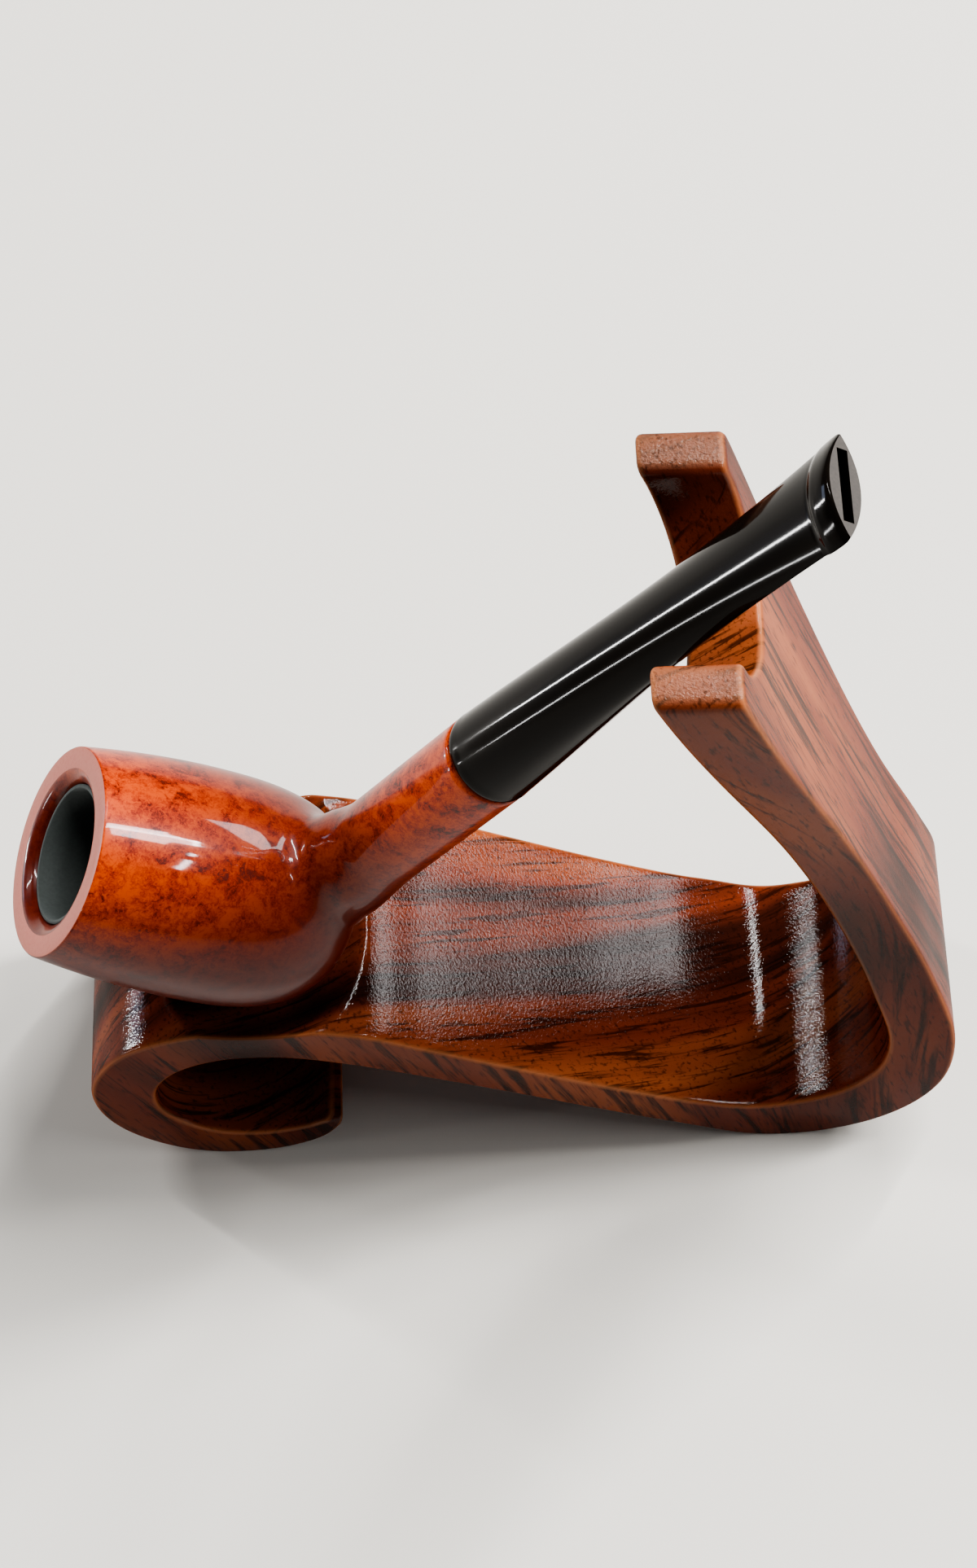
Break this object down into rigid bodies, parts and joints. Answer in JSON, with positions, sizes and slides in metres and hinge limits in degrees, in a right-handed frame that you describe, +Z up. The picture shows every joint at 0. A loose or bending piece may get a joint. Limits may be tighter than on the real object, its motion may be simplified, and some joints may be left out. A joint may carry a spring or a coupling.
{
  "type": "pipe rest with tobacco pipe",
  "caption": "Carved one-piece wooden pipe rest with a dished crest and forked upright, holding a straight billiard pipe with a push-fit stem",
  "frame": {"origin": "On the standing plane, in the middle of the set's outline as seen from above.", "axes": "+X runs along the rest from the heel under the bowl to the corner under the stem, +Y across it, +Z up."},
  "size_m": [0.1452, 0.0412, 0.1719],
  "materials": {
    "rosewood": "glossy lacquered rosewood",
    "briar": "stained and polished briar",
    "carbon_coat": "matt charcoal coat",
    "ebonite": "polished black ebonite"
  },
  "bodies": {
    "stand": {"rest": "rosewood"},
    "bowl": {"stummel": "briar", "chamber_coating": "carbon_coat"},
    "mouthpiece": {"stem": "ebonite"}
  },
  "joints": [
    {"name": "pipe_lift", "type": "slide", "parent": "stand", "child": "bowl", "axis": [0, 0, 1], "range_m": [0, 0.06]},
    {"name": "stem_pull", "type": "slide", "parent": "bowl", "child": "mouthpiece", "axis": [0.5373, 0, 0.8434], "range_m": [0, 0.015]}
  ]
}
